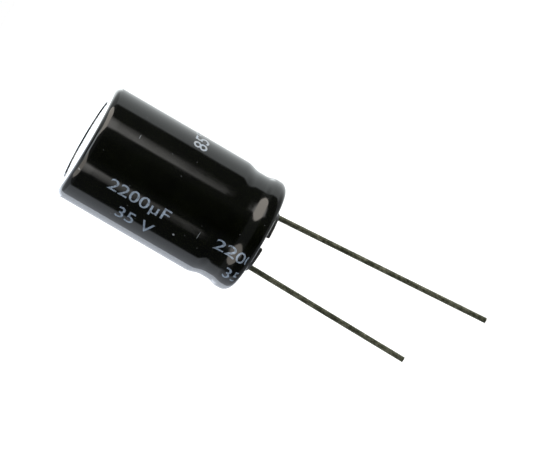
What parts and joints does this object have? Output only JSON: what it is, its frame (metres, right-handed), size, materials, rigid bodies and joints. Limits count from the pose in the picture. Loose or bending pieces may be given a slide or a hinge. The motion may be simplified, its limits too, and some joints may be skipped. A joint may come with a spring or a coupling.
{
  "type": "electrolytic capacitor",
  "caption": "Radial aluminium electrolytic capacitor in a black shrunk sleeve, with a crimped rubber seal and uncut wire leads.",
  "frame": {"origin": "on the circuit board surface that the seal's two raised lands stand on, midway between the two seal holes, on the can's axis", "axes": "+Z along the can's axis, away from the board, to the closed aluminium end; +X from the axis towards the anode lead, the longer one; the pale polarity stripe is on the -X side"},
  "size_m": [0.0164, 0.0164, 0.0578],
  "materials": {
    "sleeve": "glossy black shrunk sleeve with pale print",
    "can": "drawn, bright",
    "seal": "moulded, satin",
    "tinned_wire": "dull tinned copper-clad steel",
    "tab": "plain",
    "etched_foil": "etched, matt grey",
    "plain_foil": "plain",
    "paper": "kraft paper soaked with electrolyte",
    "tape": "thin fixing tape"
  },
  "bodies": {
    "root": {"sleeve": "sleeve", "can": "can", "rubber_seal": "seal", "anode_lead": "tinned_wire", "cathode_lead": "tinned_wire", "anode_tab": "tab", "cathode_tab": "tab", "anode_foil": "etched_foil", "inner_separator": "paper", "cathode_foil": "plain_foil", "outer_separator": "paper", "fixing_tape": "tape"}
  },
  "joints": []
}
